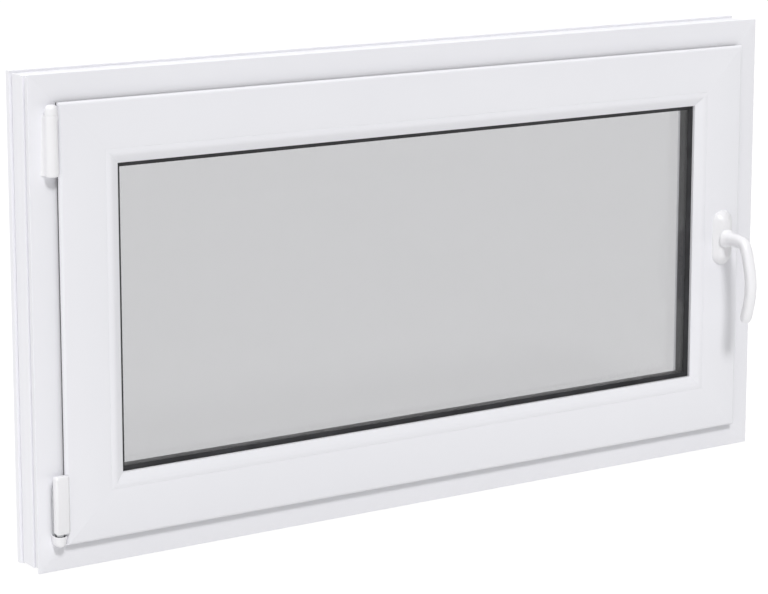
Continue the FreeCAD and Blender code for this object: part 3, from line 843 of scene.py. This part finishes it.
# screws in the strikers and the locking strips; top and face lie in from the frame's outer edge
striker = {"top": 47.0, "row": -10.0, "upright": (130.0, 470.0), "level": 420.0, "screwSpread": 20.0}
strip = {
    "face": 50.5, "row": -10.0, "upright": (115, 250, 350, 485),
    "level": (-430, -300, -180, -60, 60, 180, 270, 430), "topFrom": -280,
}
rightEdge = windowSize["width"] / 2
topEdge = windowSize["height"]
frameScrews = []
for offset in (-striker["screwSpread"], striker["screwSpread"]):
    for z in striker["upright"]:
        frameScrews.append(((rightEdge - striker["top"], striker["row"], z + offset), (-1, 0, 0)))
    x = striker["level"] + offset
    frameScrews.append(((x, striker["row"], topEdge - striker["top"]), (0, 0, -1)))
    frameScrews.append(((x, striker["row"], striker["top"]), (0, 0, 1)))
sashScrews = [((rightEdge - strip["face"], strip["row"], z), (1, 0, 0)) for z in strip["upright"]]
for x in strip["level"]:
    sashScrews.append(((x, strip["row"], strip["face"]), (0, 0, -1)))
    if x > strip["topFrom"]:  # the stay arm takes up the rest of the top
        sashScrews.append(((x, strip["row"], topEdge - strip["face"]), (0, 0, 1)))
screws, screwKeys = screwTree()


def driveScrews(name, places, body):
    base = bpy.data.meshes.new(name + "Points")
    base.from_pydata([Vector(spot) * mm for spot, facing in places], [], [])
    field = base.attributes.new("facing", "FLOAT_VECTOR", "POINT")
    for item, (spot, facing) in zip(field.data, places):
        item.vector = facing
    mesh = runTree(screws, screwKeys, {
        "Head Radius": screw["radius"] * mm,
        "Head Height": screw["height"] * mm,
        "Cross Length": screw["crossLength"] * mm,
        "Cross Width": screw["crossWidth"] * mm,
        "Finish": zinc,
    }, base)
    addPiece(name, mesh, body, "zinc_steel")


driveScrews("strikerScrews", frameScrews, "frame")
driveScrews("lockingStripScrews", sashScrews, "sash")


# drying slits along the spacer's inner face, drawn as black beads: painted shade of the open slits
def slitTree():
    tree, keys, given = growTree("spacerSlits", [
        ("Width", "Float"), ("Height", "Float"), ("Pitch", "Float"),
        ("Slit Length", "Float"), ("Slit Width", "Float"), ("Place", "Vector"), ("Finish", "Material"),
    ])
    loop = wire(tree, "GeometryNodeCurvePrimitiveQuadrilateral", {
        "Width": given["Width"], "Height": given["Height"],
    }).outputs[0]
    upright = wire(tree, "GeometryNodeTransform", {
        0: loop, "Translation": given["Place"], "Rotation": (math.pi / 2, 0, 0),
    }).outputs[0]
    fields = {"Curve": upright, "Length": given["Pitch"]}
    stops = wire(tree, "GeometryNodeCurveToPoints", fields, mode="LENGTH").outputs
    # a bead one unit across, stretched to the slit's size
    bead = wire(tree, "GeometryNodeMeshUVSphere", {"Segments": 6, "Rings": 4, "Radius": 0.5}).outputs["Mesh"]
    size = vector(tree, given["Slit Length"], given["Slit Width"], given["Slit Width"])
    facing = {"Vector": stops["Tangent"]}
    turn = wire(tree, "FunctionNodeAlignRotationToVector", facing, axis="X").outputs[0]
    copies = wire(tree, "GeometryNodeInstanceOnPoints", {
        "Points": stops["Points"], "Instance": bead, "Rotation": turn, "Scale": size,
    }).outputs[0]
    finishCopies(tree, copies, given["Finish"])
    return tree, keys


spacerSlits = {
    "width": 870.0, "height": 370.0, "pitch": 6.0, "length": 2.2, "slit": 0.4, "place": (0, -16.75, 300.0),
}
slits, slitKeys = slitTree()
slitMesh = runTree(slits, slitKeys, {
    "Width": spacerSlits["width"] * mm,
    "Height": spacerSlits["height"] * mm,
    "Pitch": spacerSlits["pitch"] * mm,
    "Slit Length": spacerSlits["length"] * mm,
    "Slit Width": spacerSlits["slit"] * mm,
    "Place": Vector(spacerSlits["place"]) * mm,
    # black rubber finish: painted shade inside the slits
    "Finish": blackRubber,
})
addPiece("spacerSlits", slitMesh, "sash", "black_gasket")
print("hoods, screws and spacer slits made")


# 1 where the eye looks straight on or through the glass, 0 for light that only bounces
def lookedAt(tree):
    path = wire(tree, "ShaderNodeLightPath").outputs
    return sums(tree, "MAXIMUM", path["Is Camera Ray"], path["Is Transmission Ray"])


# pale floor that glows a little, so that it reads white without a hard shadow
studioFloor = {
    "reach": 60.0, "sides": 64, "below": 0.2, "albedo": 0.17, "speckle": 1.04, "speckSize": 3.0,
    "roughness": 0.9, "glow": 0.87, "bounce": 0.68,
}
form = bmesh.new()
bmesh.ops.create_circle(form, cap_ends=True, radius=studioFloor["reach"], segments=studioFloor["sides"],
                        matrix=Matrix.Translation((0, 0, -studioFloor["below"] * mm)))
floorMesh = bpy.data.meshes.new("studioFloor")
form.to_mesh(floorMesh)
form.free()
floorFinish, floorTree, floorShader = newFinish("paleStudioFloor", {
    "Roughness": studioFloor["roughness"], "Specular IOR Level": 0.0, "Emission Color": (1, 1, 1, 1),
})
glow = spread(floorTree, lookedAt(floorTree), studioFloor["bounce"], studioFloor["glow"])
floorTree.links.new(glow, floorShader.inputs["Emission Strength"])
speck = grain(floorTree, (1, 1, 1), studioFloor["speckSize"])
floorShade = (studioFloor["albedo"],) * 3
speckShade = (studioFloor["albedo"] * studioFloor["speckle"],) * 3
floorTree.links.new(twoTone(floorTree, speck, floorShade, speckShade), floorShader.inputs["Base Color"])
floorMesh.materials.append(floorFinish)
studioGround = bpy.data.objects.new("studioFloor", floorMesh)
scene.collection.objects.link(studioGround)

# soft boxes overhead, on the left and behind, a key light from the upper left, a plain pale backdrop
studioLight = {
    "all": 0.03, "overhead": 1.4, "overheadFocus": 4.0, "left": 0.75, "leftFocus": 2.0, "behind": 1.1,
    "backdrop": 1.0, "key": 1.5, "keySoftness": 12.0, "keyTravel": (0.28, 1.0, -1.04),
}
sky = bpy.data.worlds.new("studioSky")
sky.use_nodes = True
scene.world = sky
skyTree = sky.node_tree
heading = wire(skyTree, "ShaderNodeTexCoord").outputs["Generated"]
toward = wire(skyTree, "ShaderNodeSeparateXYZ", {0: heading}).outputs
upward = sums(skyTree, "MAXIMUM", toward["Z"], 0.0)
leftward = sums(skyTree, "MAXIMUM", sums(skyTree, "MULTIPLY", toward["X"], -1.0), 0.0)
fromBehind = sums(skyTree, "MAXIMUM", toward["Y"], 0.0)
fromTop = sums(skyTree, "POWER", upward, studioLight["overheadFocus"])
fromLeft = sums(skyTree, "POWER", leftward, studioLight["leftFocus"])
boxes = studioLight["all"]
for share, label in ((fromTop, "overhead"), (fromLeft, "left"), (fromBehind, "behind")):
    boxes = sums(skyTree, "ADD", sums(skyTree, "MULTIPLY", share, studioLight[label]), boxes)
fields = {0: lookedAt(skyTree), 2: boxes, 3: studioLight["backdrop"]}
strength = wire(skyTree, "ShaderNodeMix", fields).outputs[0]
skyTree.links.new(strength, skyTree.nodes["Background"].inputs["Strength"])
skyTree.nodes["Background"].inputs["Color"].default_value = (1, 1, 1, 1)
keyLamp = bpy.data.lights.new("keyLight", "SUN")
keyLamp.energy = studioLight["key"]
keyLamp.angle = math.radians(studioLight["keySoftness"])
keyLight = bpy.data.objects.new("keyLight", keyLamp)
keyLight.rotation_mode = "QUATERNION"
keyLight.rotation_quaternion = Vector(studioLight["keyTravel"]).to_track_quat("-Z", "Y")
scene.collection.objects.link(keyLight)

# camera fitted to the corners of frame and sash, with a small shift because other views keep it
photoCamera = {
    "focal": 2648.57, "frameWidth": 768.0, "shift": -100.0,  # pixels
    "yaw": 32.91, "pitch": 10.09, "place": (-1852.13, -2798.96, 997.46), "sensor": 36.0, "farClip": 200.0,
}
lens = bpy.data.cameras.new("photoCamera")
lens.sensor_width = photoCamera["sensor"]
lens.lens = photoCamera["focal"] * photoCamera["sensor"] / photoCamera["frameWidth"]
lens.shift_y = photoCamera["shift"] / photoCamera["frameWidth"]
lens.clip_end = photoCamera["farClip"]
viewer = bpy.data.objects.new("photoCamera", lens)
yaw = math.radians(photoCamera["yaw"])
pitch = math.radians(photoCamera["pitch"])
ahead = Vector((math.sin(yaw) * math.cos(pitch), math.cos(yaw) * math.cos(pitch), -math.sin(pitch)))
viewer.location = Vector(photoCamera["place"]) * mm
viewer.rotation_mode = "QUATERNION"
viewer.rotation_quaternion = ahead.to_track_quat("-Z", "Y")
scene.collection.objects.link(viewer)
scene.camera = viewer
scene.view_settings.view_transform = "Standard"
print("studio set")
